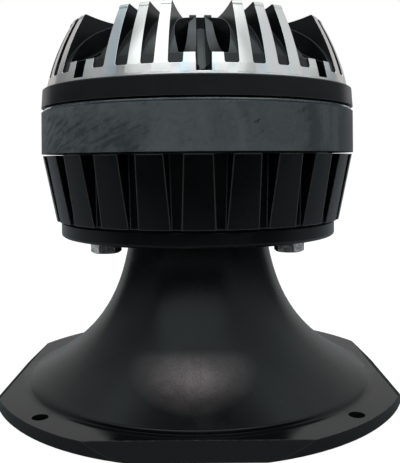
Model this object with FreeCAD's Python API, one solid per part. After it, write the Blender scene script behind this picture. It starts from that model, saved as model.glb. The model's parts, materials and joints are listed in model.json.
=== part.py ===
import FreeCAD, Part
import math
import os

os.makedirs("parts", exist_ok=True)

V = FreeCAD.Vector
UP = V(0, 0, 1)
ORIGIN = V(0, 0, 0)

# The middle of a quarter round lies off its chord by this share of the radius
roundBulge = 1 - math.sqrt(0.5)

# The driver stands bolted on its horn, mouth down. Z = 0 is the face of the mouth, and the
# front of the object looks along -Y. All sizes are in millimetres, all turns in degrees.

# Horn flange: a round plate with four slanted flats
flangeRadius = 108.5
flangeFlatTop = 96.8
flangeFlatBottom = 104.0
flangeThickness = 6.2
flangeEdgeChamfer = 0.8
mountSpacing = 142.8
mountHoleRadius = 3.7

# Horn bell: its radius is bellLimit + bellGain * exp(-z / bellLength)
bellHeight = 75.4
bellLimit = 34.0
bellGain = 77.1
bellLength = 27.4
bellFootRadius = 92.0
bellFootRound = 0.8
wallInset = 2.9
wallDrop = 7.0
bellPoints = 7
bellPointSpread = 1.35

# Throat plate of the horn, its gasket and the four bolts below it
throatPlateRadius = 74.8
throatPlateThickness = 7.3
throatPlateRound = 1.8
throatRadius = 33.5
throatGasketThickness = 1.4
throatGasketRadius = 73.6
boltCircleRadius = 63.5
boltShankRadius = 4.0
boltHoleRadius = 4.4
boltHeadFlats = 13.0
boltHeadHeight = 4.9
boltHeadTurn = -5.0
boltHeadTipRadius = 6.1
boltHeadChamfer = 30.0
boltDepth = 14.0
boltCount = 4

# Ribbed housing
housingHeight = 34.2
panelTopRadius = 84.4
panelBottomRadius = 77.3
grooveFloorRadius = 75.6
panelTopWidth = 13.1
panelBottomWidth = 15.2
panelRoot = 8.0
panelCount = 24
housingTurn = 0.7
backPlateProud = 1.0

# Screws that hold the back plate down in the housing
housingScrewCircle = 52.0
housingScrewRadius = 3.0
housingScrewHeadRadius = 5.0
housingScrewHeadHeight = 6.0
housingScrewSink = 7.0
housingScrewDepth = 8.0
housingScrewCount = 4

# Motor: back plate with its pole, magnet ring and top plate
backPlateRadius = 71.5
backPlateThickness = 12.0
backPlateClearance = 0.3
magnetRadius = 85.0
magnetBoreRadius = 56.0
magnetThickness = 21.8
topPlateFootRadius = 82.2
topPlateFootHeight = 0.7
topPlateStepRadius = 83.6
topPlateStepHeight = 0.9
topPlateRadius = 77.5
topPlateThickness = 8.0
gapOuterRadius = 51.8
poleRadius = 50.0
capThickness = 0.5
capHeight = 9.5
poleBoreTop = 42.0
poleBoreBottom = 32.0

# Diaphragm with its coil, surround and clamping ring
coilRadius = 50.5
formerThickness = 0.2
coilThickness = 0.6
coilHeight = 6.0
domeRise = 15.0
domeThickness = 0.3
domeBaseLift = 1.2
formerLap = 0.8
compressionGap = 0.9
surroundWidth = 4.6
surroundRise = 1.1
surroundThickness = 0.3
ringRadius = 65.5
ringThickness = 3.0
ringScrewCircle = 61.0
ringScrewCount = 4

# Phase plug
plugDepth = 34.0
plugFit = 0.05
slitWidth = 1.8
bulletRadius = 11.0
plugRingRadius = 25.0
plugWall = 1.5
plugBandFoot = 1.2
bulletTipRadius = 1.0
bulletOverhang = 6.0
plugWebThickness = 2.4
plugWebDrop = 10.0
plugWebGap = 1.0
plugWebCount = 4

# Rear cover: base ring and finned dome, with rises counted from the top of its rim
coverTurn = 2.6
coverRadius = 85.0
coverRimTopRadius = 84.4
coverRimHeight = 10.5
coverRimRound = 0.6
coverGasketThickness = 0.9
coverGasketRadius = 82.4
rimClearance = 0.5
finCircleRadius = 82.3
finTopRadius = 69.9
finTopRise = 33.4
finBulge = 1.45
finTipInset = 2.3
finTipRise = 2.3
finTipBulge = 0.7
finTopSag = 1.2
finInnerRadius = 35.5
hubRadius = 41.5
hubRise = 32.4
hubRecess = 1.6
hubWall = 3.2
domeFootRadius = 80.4
domeFootRise = 5.0
domeShoulderRadius = 79.1
domeShoulderRise = 9.6
domeBulge = 6.0
finPitch = 9.0
sectorCount = 8
finBottomWidth = 6.4
finTopWidth = 4.6
slotRound = 1.0
overlap = 0.3

# Channels and bays of the cover, with a pair of short fins in each bay
channelWidth = 7.0
channelRise = 1.3
channelInnerRadius = 74.0
bayCircleRadius = 68.3
bayHalfLength = 20.0
bayHalfWidth = 12.7
bayFloorRise = 12.6
bayLipWidth = 1.4
wellInnerRadius = 55.5
wellWallLap = 1.5
shortFinBottomWidth = 5.6
shortFinTopWidth = 3.0
shortFinBlockRise = 9.7
shortFinBlockRadius = 79.0
shortFinTopRadius = 48.6
shortFinProud = 0.9
shortFinNose = 1.5
shortFinSag = 3.2
shortFinInnerRadius = 44.0
valleyWidth = 7.0
valleyFootRise = 1.0
valleyTopRadius = 46.3
valleyTopDrop = 1.0
valleySag = 2.2

# Cavity over the diaphragm, with its damping pad
cavityRadius = 51.6
cavityWallHeight = 5.2
cavityMidRadius = 40.0
cavityMidDrop = 11.0
cavityTopRadius = 30.0
hubThickness = 8.8
padThickness = 3.0
padRadius = 26.0

# Cover screws and ring screws
coverScrewCircle = 70.0
coverScrewRadius = 2.0
coverScrewHeadRadius = 3.5
coverScrewHeadHeight = 4.0
coverScrewDepth = 5.0
coverScrewSink = 2.2
socketFlats = 3.0
socketDepth = 2.0
screwClearance = 0.25
ringScrewRadius = 1.5
ringScrewHeadRadius = 2.7
ringScrewHeadHeight = 1.6
ringScrewDepth = 5.0

# Terminal block at the back of the cover
terminalFlat = 82.6
terminalWidth = 32.0
terminalHeight = 8.0
terminalDepth = 7.0
terminalRound = 1.0
tabWidth = 6.3
tabThickness = 0.8
tabLength = 8.0
tabSpacing = 14.0
tabRoot = 5.0
terminalScrewSpacing = 26.0
terminalScrewRadius = 1.25
terminalScrewHeadRadius = 2.3
terminalScrewHeadHeight = 1.6
terminalScrewDepth = 3.5

# Heights of the stack, each from the pieces below it
bellTop = flangeThickness + bellHeight
gasketBottom = bellTop + throatPlateThickness
housingBottom = gasketBottom + throatGasketThickness
housingTop = housingBottom + housingHeight
magnetBottom = housingTop + backPlateProud
backPlateBottom = magnetBottom - backPlateThickness
magnetTop = magnetBottom + magnetThickness
footTop = magnetTop + topPlateFootHeight
stepTop = footTop + topPlateStepHeight
topPlateTop = magnetTop + topPlateThickness
rimBottom = stepTop + coverGasketThickness
rimTop = stepTop + coverRimHeight
ringTop = topPlateTop + ringThickness
channelFloor = rimTop + channelRise
coverScrewSeat = channelFloor - coverScrewSink
bayFloor = rimTop + bayFloorRise
domeFoot = (domeFootRadius, rimTop + domeFootRise)
domeShoulder = (domeShoulderRadius, rimTop + domeShoulderRise)
hub = (hubRadius, rimTop + hubRise)
finFoot = (finCircleRadius, rimTop)
finTop = (finTopRadius, rimTop + finTopRise)
finTip = (finTopRadius - finTipInset, finTop[1] + finTipRise)
shortFinBlockTop = rimTop + shortFinBlockRise
shortFinTop = hub[1] + shortFinProud
coverTop = max(finTip[1], shortFinTop)
cavityTop = hub[1] - hubThickness


def save(shape, name):
    if shape.ShapeType == "Compound" and len(shape.Solids) == 1:
        shape = shape.Solids[0]
    shape.exportStep("parts/%s.step" % name)
    return shape


def cylinder(radius, bottom, top, x=0.0, y=0.0):
    return Part.makeCylinder(radius, top - bottom, V(x, y, bottom), UP)


def ring(inner, outer, bottom, top):
    return cylinder(outer, bottom, top).cut(cylinder(inner, bottom - 1, top + 1))


def onCircle(radius, degrees, z=0.0):
    """A point at a turn from the front, counted counter-clockwise seen from above."""
    turn = math.radians(degrees)
    return V(radius * math.sin(turn), -radius * math.cos(turn), z)


def revolve(edges):
    return Part.Face(Part.Wire(edges)).revolve(ORIGIN, UP, 360)


def revolvePoints(points):
    corners = [V(r, 0, z) for r, z in points]
    return Part.Face(Part.makePolygon(corners + corners[:1])).revolve(ORIGIN, UP, 360)


def line(a, b):
    return Part.LineSegment(V(a[0], 0, a[1]), V(b[0], 0, b[1])).toShape()


def arc(a, b, c):
    return Part.Arc(V(a[0], 0, a[1]), V(b[0], 0, b[1]), V(c[0], 0, c[1])).toShape()


def bowed(a, b, bulge):
    """The point beside the middle of a chord, off it by the bulge, on its outer side."""
    length = math.hypot(b[0] - a[0], b[1] - a[1])
    across = ((b[1] - a[1]) / length, -(b[0] - a[0]) / length)
    return ((a[0] + b[0]) / 2 + across[0] * bulge, (a[1] + b[1]) / 2 + across[1] * bulge)


def radialSlab(section, inner, outer, degrees):
    """A bar of constant section, given as width offsets and heights, that runs outwards."""
    points = [V(x, -inner, z) for x, z in section]
    bar = Part.Face(Part.makePolygon(points + points[:1])).extrude(V(0, inner - outer, 0))
    return bar.rotate(ORIGIN, UP, degrees)


def bellRadius(z):
    return bellLimit + bellGain * math.exp(-z / bellLength)


def boreRadius(z):
    """Inside of the bell: the outer flare moved down and in by the wall."""
    return bellRadius(z + wallDrop) - wallInset


def flare(radiusAt, bottom, top):
    spline = Part.BSplineCurve()
    steps = bellPoints - 1
    heights = [bottom + (top - bottom) * (i / steps) ** bellPointSpread for i in range(bellPoints)]
    spline.interpolate([V(radiusAt(z), 0, z) for z in heights])
    return spline.toShape()


def heightOfBell(radius):
    return -bellLength * math.log((radius - bellLimit) / bellGain)


def hexPrism(flats, bottom, top, x, y, turn):
    corner = flats / math.sqrt(3)
    points = []
    for i in range(6):
        a = math.radians(60 * i + turn)
        points.append(V(x + corner * math.cos(a), y + corner * math.sin(a), bottom))
    return Part.Face(Part.makePolygon(points + points[:1])).extrude(V(0, 0, top - bottom))


def makeHorn():
    plate = cylinder(flangeRadius, 0, flangeThickness)
    plate = plate.makeChamfer(flangeEdgeChamfer, [lowEdge(plate)])
    # Each flat leans out from the top face down to the mouth face
    lean = (flangeFlatBottom - flangeFlatTop) / flangeThickness
    high = flangeFlatTop - lean
    low = flangeFlatBottom + lean
    for side in range(4):
        points = [(high, flangeThickness + 1), (low, -1), (2 * flangeRadius, -1),
                  (2 * flangeRadius, flangeThickness + 1)]
        corners = [V(r, -flangeRadius, z) for r, z in points]
        wedge = Part.Face(Part.makePolygon(corners + corners[:1]))
        wedge = wedge.extrude(V(0, 2 * flangeRadius, 0))
        plate = plate.cut(wedge.rotate(ORIGIN, UP, 90 * side))

    footTop = heightOfBell(bellFootRadius - bellFootRound)
    neck = bellRadius(bellTop)
    plateTop = gasketBottom
    foot = (bellFootRadius, footTop - bellFootRound)
    shoulder = (bellFootRadius - bellFootRound, footTop)
    corner = bowed(foot, shoulder, roundBulge * bellFootRound)
    rim = (throatPlateRadius, bellTop + throatPlateRound)
    under = (throatPlateRadius - throatPlateRound, bellTop)
    between = bowed(under, rim, roundBulge * throatPlateRound)
    body = revolve([
        line((0, 0), (bellFootRadius, 0)),
        line((bellFootRadius, 0), foot),
        arc(foot, corner, shoulder),
        flare(bellRadius, footTop, bellTop),
        line((neck, bellTop), under),
        arc(under, between, rim),
        line(rim, (throatPlateRadius, plateTop)),
        line((throatPlateRadius, plateTop), (0, plateTop)),
        line((0, plateTop), (0, 0)),
    ])
    bore = revolve([
        line((0, 0), (boreRadius(0), 0)),
        flare(boreRadius, 0, bellTop),
        line((boreRadius(bellTop), bellTop), (throatRadius, plateTop)),
        line((throatRadius, plateTop), (0, plateTop)),
        line((0, plateTop), (0, 0)),
    ])
    horn = plate.fuse(body).removeSplitter().cut(bore)
    half = mountSpacing / 2
    for x in (-half, half):
        for y in (-half, half):
            horn = horn.cut(cylinder(mountHoleRadius, -1, flangeThickness + 1, x, y))
    for spot in boltSpots():
        horn = horn.cut(cylinder(boltHoleRadius, bellTop - 1, plateTop + 1, spot.x, spot.y))
    return save(horn, "horn")


def lowEdge(shape):
    return min(shape.Edges, key=lambda edge: edge.BoundBox.ZMax)


def boltSpots():
    return [onCircle(boltCircleRadius, 45 + 360 / boltCount * i) for i in range(boltCount)]


def makeThroatGasket():
    gasket = ring(throatRadius, throatGasketRadius, gasketBottom, housingBottom)
    for spot in boltSpots():
        gasket = gasket.cut(cylinder(boltHoleRadius, gasketBottom - 1, housingBottom + 1,
                                     spot.x, spot.y))
    return save(gasket, "throat_gasket")


def makeBolts():
    for number, spot in enumerate(boltSpots()):
        top = housingBottom + boltDepth
        bolt = cylinder(boltShankRadius, bellTop, top, spot.x, spot.y)
        turn = 45 + boltHeadTurn + 360 / boltCount * number
        bottom = bellTop - boltHeadHeight
        head = hexPrism(boltHeadFlats, bottom, bellTop, spot.x, spot.y, turn)
        wide = boltHeadTipRadius + boltHeadHeight / math.tan(math.radians(boltHeadChamfer))
        cone = Part.makeCone(boltHeadTipRadius, wide, boltHeadHeight, V(spot.x, spot.y, bottom), UP)
        save(bolt.fuse(head.common(cone)), "mounting_bolt_%d" % (number + 1))


def makeHousing():
    core = cylinder(grooveFloorRadius, housingBottom, housingTop)
    cone = revolvePoints([(0, housingBottom), (panelBottomRadius, housingBottom),
                          (panelTopRadius, housingTop), (0, housingTop)])
    inside = grooveFloorRadius - panelRoot
    panels = []
    section = [(-panelBottomWidth / 2, housingBottom), (panelBottomWidth / 2, housingBottom),
               (panelTopWidth / 2, housingTop), (-panelTopWidth / 2, housingTop)]
    for i in range(panelCount):
        turn = housingTurn + 360 / panelCount * i
        slab = radialSlab(section, inside, panelTopRadius + panelRoot, turn)
        panels.append(slab.common(cone))
    housing = core.multiFuse(panels).removeSplitter()
    pocket = cylinder(backPlateRadius + backPlateClearance, backPlateBottom, housingTop + 1)
    bore = revolvePoints([(0, housingBottom), (throatRadius, housingBottom),
                          (poleBoreBottom, backPlateBottom), (0, backPlateBottom)])
    housing = housing.cut(pocket).cut(bore)
    for spot in boltSpots():
        housing = housing.cut(cylinder(boltShankRadius, housingBottom - 1,
                                       housingBottom + boltDepth, spot.x, spot.y))
    for spot in housingScrewSpots():
        housing = housing.cut(cylinder(housingScrewHeadRadius + screwClearance, housingBottom - 1,
                                       housingBottom + housingScrewSink, spot.x, spot.y))
        housing = housing.cut(cylinder(housingScrewRadius + screwClearance, housingBottom - 1,
                                       backPlateBottom + 1, spot.x, spot.y))
    return save(housing, "throat_housing")


def housingScrewSpots():
    return [onCircle(housingScrewCircle, 360 / housingScrewCount * i) for i in range(housingScrewCount)]


def makeHousingScrews():
    seat = housingBottom + housingScrewSink
    for number, spot in enumerate(housingScrewSpots()):
        head = cylinder(housingScrewHeadRadius, seat - housingScrewHeadHeight, seat, spot.x, spot.y)
        shank = cylinder(housingScrewRadius, seat, backPlateBottom + housingScrewDepth, spot.x, spot.y)
        save(head.fuse(shank), "housing_screw_%d" % (number + 1))


domeRadius = (coilRadius ** 2 + domeRise ** 2) / (2 * domeRise)
domeBase = topPlateTop + domeBaseLift
domeCentre = domeBase + domeRise - domeRadius
domeInner = domeRadius - domeThickness
plugSphere = domeInner - compressionGap


def sphereHeight(radius, sphere):
    return domeCentre + math.sqrt(sphere ** 2 - radius ** 2)


def poleBore(z):
    """The pole's bore narrows evenly from its tip to the face of the back plate."""
    top = sphereHeight(poleBoreTop, plugSphere)
    return poleBoreBottom + (poleBoreTop - poleBoreBottom) * (z - backPlateBottom) / (top - backPlateBottom)


def makeBackPlate():
    sleeve = poleRadius - capThickness
    tip = sphereHeight(poleBoreTop, plugSphere)
    edge = sphereHeight(sleeve, plugSphere)
    between = (sleeve + poleBoreTop) / 2
    plate = revolve([
        line((poleBoreBottom, backPlateBottom), (backPlateRadius, backPlateBottom)),
        line((backPlateRadius, backPlateBottom), (backPlateRadius, magnetBottom)),
        line((backPlateRadius, magnetBottom), (sleeve, magnetBottom)),
        line((sleeve, magnetBottom), (sleeve, edge)),
        arc((sleeve, edge), (between, sphereHeight(between, plugSphere)), (poleBoreTop, tip)),
        line((poleBoreTop, tip), (poleBoreBottom, backPlateBottom)),
    ])
    for spot in housingScrewSpots():
        plate = plate.cut(cylinder(housingScrewRadius, backPlateBottom - 1,
                                   backPlateBottom + housingScrewDepth, spot.x, spot.y))
    return save(plate, "back_plate")


def makeShortingCap():
    top = sphereHeight(poleRadius, plugSphere)
    return save(ring(poleRadius - capThickness, poleRadius, top - capHeight, top), "shorting_cap")


def makeMagnet():
    return save(ring(magnetBoreRadius, magnetRadius, magnetBottom, magnetTop), "magnet")


def makeTopPlate():
    plate = cylinder(topPlateFootRadius, magnetTop, footTop)
    plate = plate.fuse(cylinder(topPlateStepRadius, footTop, stepTop))
    plate = plate.fuse(cylinder(topPlateRadius, stepTop, topPlateTop))
    plate = plate.cut(cylinder(gapOuterRadius, magnetTop - 1, topPlateTop + 1)).removeSplitter()
    for spot in coverScrewSpots():
        plate = plate.cut(cylinder(coverScrewRadius, topPlateTop - coverScrewDepth, topPlateTop + 1,
                                   spot.x, spot.y))
    for spot in ringScrewSpots():
        plate = plate.cut(cylinder(ringScrewRadius, topPlateTop - ringScrewDepth, topPlateTop + 1,
                                   spot.x, spot.y))
    return save(plate, "top_plate")


def coverScrewSpots():
    return [onCircle(coverScrewCircle, coverTurn + 360 / sectorCount * i) for i in range(sectorCount)]


def ringScrewSpots():
    start = coverTurn + 180 / sectorCount
    return [onCircle(ringScrewCircle, start + 360 / ringScrewCount * i) for i in range(ringScrewCount)]


def makePhasePlug():
    top = sphereHeight(poleBoreTop, plugSphere)
    bottom = top - plugDepth
    outer = plugRingRadius + slitWidth
    foot = poleBore(bottom) - plugFit
    shell = [(poleBoreTop - plugFit, top), (foot, bottom), (foot - plugWall, bottom),
             (outer, sphereHeight(outer, plugSphere))]
    middle = bulletRadius + slitWidth
    thin = (plugRingRadius + middle) / 2
    band = [(plugRingRadius, sphereHeight(plugRingRadius, plugSphere)), (thin + plugBandFoot / 2, bottom),
            (thin - plugBandFoot / 2, bottom), (middle, sphereHeight(middle, plugSphere))]
    bullet = [(0, sphereHeight(0, plugSphere)), (bulletRadius, sphereHeight(bulletRadius, plugSphere)),
              (bulletTipRadius, bottom - bulletOverhang), (0, bottom - bulletOverhang)]
    plug = revolvePoints(bullet).multiFuse([revolvePoints(band), revolvePoints(shell)])
    webs = []
    for i in range(plugWebCount):
        section = [(-plugWebThickness / 2, bottom), (plugWebThickness / 2, bottom),
                   (plugWebThickness / 2, top - plugWebDrop), (-plugWebThickness / 2, top - plugWebDrop)]
        webs.append(radialSlab(section, 0, foot - plugWebGap, 360 / plugWebCount * i))
    return save(plug.multiFuse(webs), "phase_plug")


def makeDiaphragm():
    outside = Part.makeSphere(domeRadius, V(0, 0, domeCentre))
    inside = Part.makeSphere(domeInner, V(0, 0, domeCentre))
    above = cylinder(domeRadius, domeBase, domeBase + 2 * domeRise)
    save(outside.common(above).cut(inside), "diaphragm_dome")
    gapMiddle = (magnetTop + topPlateTop) / 2
    coilBottom = gapMiddle - coilHeight / 2
    outer = coilRadius + formerThickness
    save(ring(coilRadius, outer, coilBottom, domeBase + formerLap), "coil_former")
    save(ring(outer, outer + coilThickness, coilBottom, coilBottom + coilHeight), "voice_coil")
    edge = outer + surroundWidth
    crest = (outer + edge) / 2
    low = domeBase
    surround = revolvePoints([
        (outer, low), (crest, low + surroundRise), (edge, low), (edge, low + surroundThickness),
        (crest, low + surroundRise + surroundThickness), (outer, low + surroundThickness)])
    save(surround, "surround")
    body = ring(edge, ringRadius, topPlateTop, ringTop)
    for spot in ringScrewSpots():
        body = body.cut(cylinder(ringScrewRadius + screwClearance, topPlateTop - 1, ringTop + 1,
                                 spot.x, spot.y))
        body = body.cut(cylinder(ringScrewHeadRadius + screwClearance, ringTop - ringScrewHeadHeight,
                                 ringTop + 1, spot.x, spot.y))
    return save(body, "diaphragm_ring")


def makeCoverGasket():
    inner = topPlateRadius + rimClearance
    return save(ring(inner, coverGasketRadius, stepTop, rimBottom), "cover_gasket")


def finnedDome():
    envelope = revolve([
        line((0, rimTop), finFoot),
        arc(finFoot, bowed(finFoot, finTop, finBulge), finTop),
        arc(finTop, bowed(finTop, finTip, finTipBulge), finTip),
        arc(finTip, bowed(finTip, hub, -finTopSag), hub),
        line(hub, (0, hub[1])),
        line((0, hub[1]), (0, rimTop)),
    ])
    ledge = (bandRadius(domeFoot[1]), domeFoot[1])
    dome = revolve([
        line((0, rimTop), finFoot),
        line(finFoot, ledge),
        line(ledge, domeFoot),
        line(domeFoot, domeShoulder),
        arc(domeShoulder, bowed(domeShoulder, hub, domeBulge), hub),
        line(hub, (0, hub[1])),
        line((0, hub[1]), (0, rimTop)),
    ])
    return envelope, dome


def bandRadius(z):
    """Radius of the turned outside at a height, on the arc that bounds the fins."""
    chord = math.hypot(finTop[0] - finFoot[0], finTop[1] - finFoot[1])
    radius = (chord ** 2 / 4 + finBulge ** 2) / (2 * finBulge)
    crest = bowed(finFoot, finTop, finBulge)
    centre = bowed(finFoot, finTop, finBulge - radius)
    side = 1 if crest[0] > centre[0] else -1
    return centre[0] + side * math.sqrt(radius ** 2 - (z - centre[1]) ** 2)


def finSection(bottomWidth, topWidth, top):
    """Round corners at the foot, then a straight draft up to the top."""
    foot = domeFoot[1]
    low = bottomWidth / 2
    high = topWidth / 2
    corner = []
    for step in (0, 30, 60, 90):
        a = math.radians(step)
        corner.append((low + slotRound * (1 - math.sin(a)), foot + slotRound * (1 - math.cos(a))))
    right = [(low + slotRound, channelFloor - overlap)] + corner + [(high, top)]
    return right + [(-x, z) for x, z in reversed(right)]


def bayCut(turn):
    """An oval well beside the short fins, stepped up over the wall of the cavity."""
    oval = Part.Ellipse(V(0, -bayCircleRadius - bayHalfLength, channelFloor),
                        V(bayHalfWidth, -bayCircleRadius, channelFloor),
                        V(0, -bayCircleRadius, channelFloor)).toShape()
    well = Part.Face(Part.Wire([oval])).extrude(V(0, 0, coverTop - channelFloor))
    well = well.cut(cylinder(wellInnerRadius, channelFloor - 1, bayFloor))
    lip = domeFootRadius - bayLipWidth
    well = well.common(cylinder(lip, channelFloor, coverTop))
    return well.rotate(ORIGIN, UP, turn)


def innerStep(top):
    """Inner side of what stands in a bay: on the cavity's wall, then further in above it."""
    inner = wellInnerRadius - wellWallLap
    return [line((inner, channelFloor - overlap), (inner, bayFloor - overlap)),
            line((inner, bayFloor - overlap), (shortFinInnerRadius, bayFloor - overlap)),
            line((shortFinInnerRadius, bayFloor - overlap), (shortFinInnerRadius, top))]


def shortFinSolid():
    """The short fins drop from the hub in a hollow curve to a block at the rim."""
    bottom = channelFloor - overlap
    block = (bandRadius(shortFinBlockTop), shortFinBlockTop)
    shelf = (shortFinBlockRadius, shortFinBlockTop)
    nose = (shortFinTopRadius, shortFinTop - shortFinNose)
    crown = (shortFinTopRadius - shortFinNose, shortFinTop)
    return revolve(innerStep(shortFinTop) + [
        line((shortFinInnerRadius, shortFinTop), crown),
        arc(crown, bowed(nose, crown, roundBulge * shortFinNose), nose),
        arc(nose, bowed(shelf, nose, -shortFinSag), shelf),
        line(shelf, block),
        arc(block, (bandRadius((bottom + shortFinBlockTop) / 2), (bottom + shortFinBlockTop) / 2),
            (bandRadius(bottom), bottom)),
        line((bandRadius(bottom), bottom), (wellInnerRadius - wellWallLap, bottom)),
    ])


def valleySolid():
    """The floor between two short fins climbs from the screw's well up to the hub."""
    bottom = channelFloor - overlap
    reach = coverScrewCircle - coverScrewHeadRadius - screwClearance - overlap
    foot = (reach, channelFloor + valleyFootRise)
    top = (valleyTopRadius, hub[1] - valleyTopDrop)
    return revolve(innerStep(top[1]) + [
        line((shortFinInnerRadius, top[1]), top),
        arc(top, bowed(foot, top, -valleySag), foot),
        line(foot, (reach, bottom)),
        line((reach, bottom), (wellInnerRadius - wellWallLap, bottom)),
    ])


def coverFins(spots, envelope):
    fins = []
    outer = finCircleRadius + finTipInset
    full = finSection(finBottomWidth, finTopWidth, coverTop)
    short = finSection(shortFinBottomWidth, shortFinTopWidth, coverTop)
    half = valleyWidth / 2
    floor = [(-half, channelFloor - overlap), (half, channelFloor - overlap), (half, coverTop),
             (-half, coverTop)]
    shortLimit = shortFinSolid()
    valleyLimit = valleySolid()
    for turn in spots:
        for step in (1.5, 2.5, 3.5):
            slab = radialSlab(full, finInnerRadius, outer, turn + step * finPitch)
            fins.append(slab.common(envelope))
        for step in (-0.5, 0.5):
            slab = radialSlab(short, shortFinInnerRadius - 1, outer, turn + step * finPitch)
            fins.append(slab.common(shortLimit))
        fins.append(radialSlab(floor, shortFinInnerRadius - 1, outer, turn).common(valleyLimit))
    return fins


def coverCavity():
    seat = topPlateTop
    rebate = topPlateRadius + rimClearance
    step = ringRadius + screwClearance
    return revolvePoints([
        (0, rimBottom - 1), (rebate, rimBottom - 1), (rebate, seat), (step, seat), (step, ringTop),
        (cavityRadius, ringTop), (cavityRadius, ringTop + cavityWallHeight),
        (cavityMidRadius, cavityTop - cavityMidDrop), (cavityTopRadius, cavityTop), (0, cavityTop)])


def makeCover():
    envelope, dome = finnedDome()
    rim = (coverRimTopRadius - coverRimRound, rimTop)
    side = (coverRimTopRadius, rimTop - coverRimRound)
    ringBody = revolve([
        line((0, rimBottom), (coverRadius, rimBottom)),
        line((coverRadius, rimBottom), side),
        arc(side, bowed(side, rim, roundBulge * coverRimRound), rim),
        line(rim, (0, rimTop)),
        line((0, rimTop), (0, rimBottom)),
    ])
    spots = [coverTurn + 360 / sectorCount * i for i in range(sectorCount)]
    body = ringBody.fuse(dome).cut([bayCut(turn) for turn in spots])
    body = body.multiFuse(coverFins(spots, envelope))

    half = channelWidth / 2
    channel = [(-half, channelFloor), (half, channelFloor), (half, coverTop), (-half, coverTop)]
    cuts = [radialSlab(channel, channelInnerRadius, coverRadius + half, turn) for turn in spots]
    headHole = coverScrewHeadRadius + screwClearance
    shankHole = coverScrewRadius + screwClearance
    for spot in coverScrewSpots():
        cuts.append(cylinder(headHole, coverScrewSeat, domeFoot[1], spot.x, spot.y))
        cuts.append(cylinder(shankHole, rimBottom, coverScrewSeat + 1, spot.x, spot.y))
    recess = cylinder(hubRadius - hubWall, hub[1] - hubRecess, hub[1] + 1)
    flat = Part.makeBox(4 * coverRadius, coverRadius, rimTop - rimBottom,
                        V(-2 * coverRadius, terminalFlat, rimBottom))
    flat.rotate(ORIGIN, UP, coverTurn)
    threads = terminalScrews(terminalScrewRadius, terminalFlat - terminalScrewDepth, coverRadius)
    body = body.cut(cuts + threads + [coverCavity(), recess, flat])
    return save(body, "rear_cover")


def makeDampingPad():
    return save(cylinder(padRadius, cavityTop - padThickness, cavityTop), "damping_pad")


def makeCoverScrews():
    for number, spot in enumerate(coverScrewSpots()):
        screw = cylinder(coverScrewRadius, topPlateTop - coverScrewDepth, coverScrewSeat, spot.x, spot.y)
        head = cylinder(coverScrewHeadRadius, coverScrewSeat, coverScrewSeat + coverScrewHeadHeight,
                        spot.x, spot.y)
        top = coverScrewSeat + coverScrewHeadHeight
        socket = hexPrism(socketFlats, top - socketDepth, top + 1, spot.x, spot.y, 0)
        save(screw.fuse(head).cut(socket), "cover_screw_%d" % (number + 1))


def makeRingScrews():
    for number, spot in enumerate(ringScrewSpots()):
        shank = cylinder(ringScrewRadius, topPlateTop - ringScrewDepth, ringTop - ringScrewHeadHeight,
                         spot.x, spot.y)
        head = cylinder(ringScrewHeadRadius, ringTop - ringScrewHeadHeight, ringTop, spot.x, spot.y)
        save(shank.fuse(head), "ring_screw_%d" % (number + 1))


def terminalScrews(radius, start, end):
    """Round bars along Y at the places of the two terminal screws."""
    height = (rimBottom + rimTop) / 2
    bars = [Part.makeCylinder(radius, end - start, V(x, start, height), V(0, 1, 0))
            for x in (-terminalScrewSpacing / 2, terminalScrewSpacing / 2)]
    return [bar.rotate(ORIGIN, UP, coverTurn) for bar in bars]


def makeTerminal():
    bottom = (rimBottom + rimTop - terminalHeight) / 2
    middle = bottom + terminalHeight / 2
    face = terminalFlat + terminalDepth
    block = Part.makeBox(terminalWidth, terminalDepth, terminalHeight,
                         V(-terminalWidth / 2, terminalFlat, bottom))
    block = block.makeFillet(terminalRound, [edge for edge in block.Edges
                                             if edge.BoundBox.YMin > terminalFlat + 1])
    block.rotate(ORIGIN, UP, coverTurn)
    for number, x in enumerate((-tabSpacing / 2, tabSpacing / 2)):
        tab = Part.makeBox(tabWidth, tabRoot + tabLength, tabThickness,
                           V(x - tabWidth / 2, face - tabRoot, middle - tabThickness / 2))
        tab.rotate(ORIGIN, UP, coverTurn)
        block = block.cut(tab)
        save(tab, "terminal_tab_%d" % (number + 1))
    seat = face - terminalScrewHeadHeight
    block = block.cut(terminalScrews(terminalScrewHeadRadius + screwClearance, seat, face + 1))
    block = block.cut(terminalScrews(terminalScrewRadius + screwClearance, terminalFlat - 1, face))
    save(block, "terminal_block")
    heads = terminalScrews(terminalScrewHeadRadius, seat, face)
    shanks = terminalScrews(terminalScrewRadius, terminalFlat - terminalScrewDepth, seat)
    for number in range(2):
        save(heads[number].fuse(shanks[number]), "terminal_screw_%d" % (number + 1))


makeHorn()
makeThroatGasket()
makeBolts()
makeHousing()
makeHousingScrews()
makeBackPlate()
makeShortingCap()
makeMagnet()
makeTopPlate()
makePhasePlug()
makeDiaphragm()
makeCoverGasket()
makeCover()
makeDampingPad()
makeCoverScrews()
makeRingScrews()
makeTerminal()
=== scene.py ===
import json
import math

import bpy
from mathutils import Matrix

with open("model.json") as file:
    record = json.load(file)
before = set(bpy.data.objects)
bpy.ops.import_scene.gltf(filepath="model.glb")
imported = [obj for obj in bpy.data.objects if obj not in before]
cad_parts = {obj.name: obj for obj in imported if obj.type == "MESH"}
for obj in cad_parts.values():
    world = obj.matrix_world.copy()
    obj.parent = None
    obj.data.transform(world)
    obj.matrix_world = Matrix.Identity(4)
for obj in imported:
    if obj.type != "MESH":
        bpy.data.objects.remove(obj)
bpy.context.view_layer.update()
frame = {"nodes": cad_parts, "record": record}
nodes = frame["nodes"]
print("frame loaded:", len(nodes), "nodes")

mm = 0.001

# the photograph is 400 by 463, and its optical axis stands off its middle
photo = {"width": 400, "height": 463, "focal": 647.4, "axisX": 202.7, "axisY": 162.2}
cameraSpot = {"x": 2.8 * mm, "y": -363.4 * mm, "z": 120.7 * mm, "roll": 0.0078}

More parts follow.
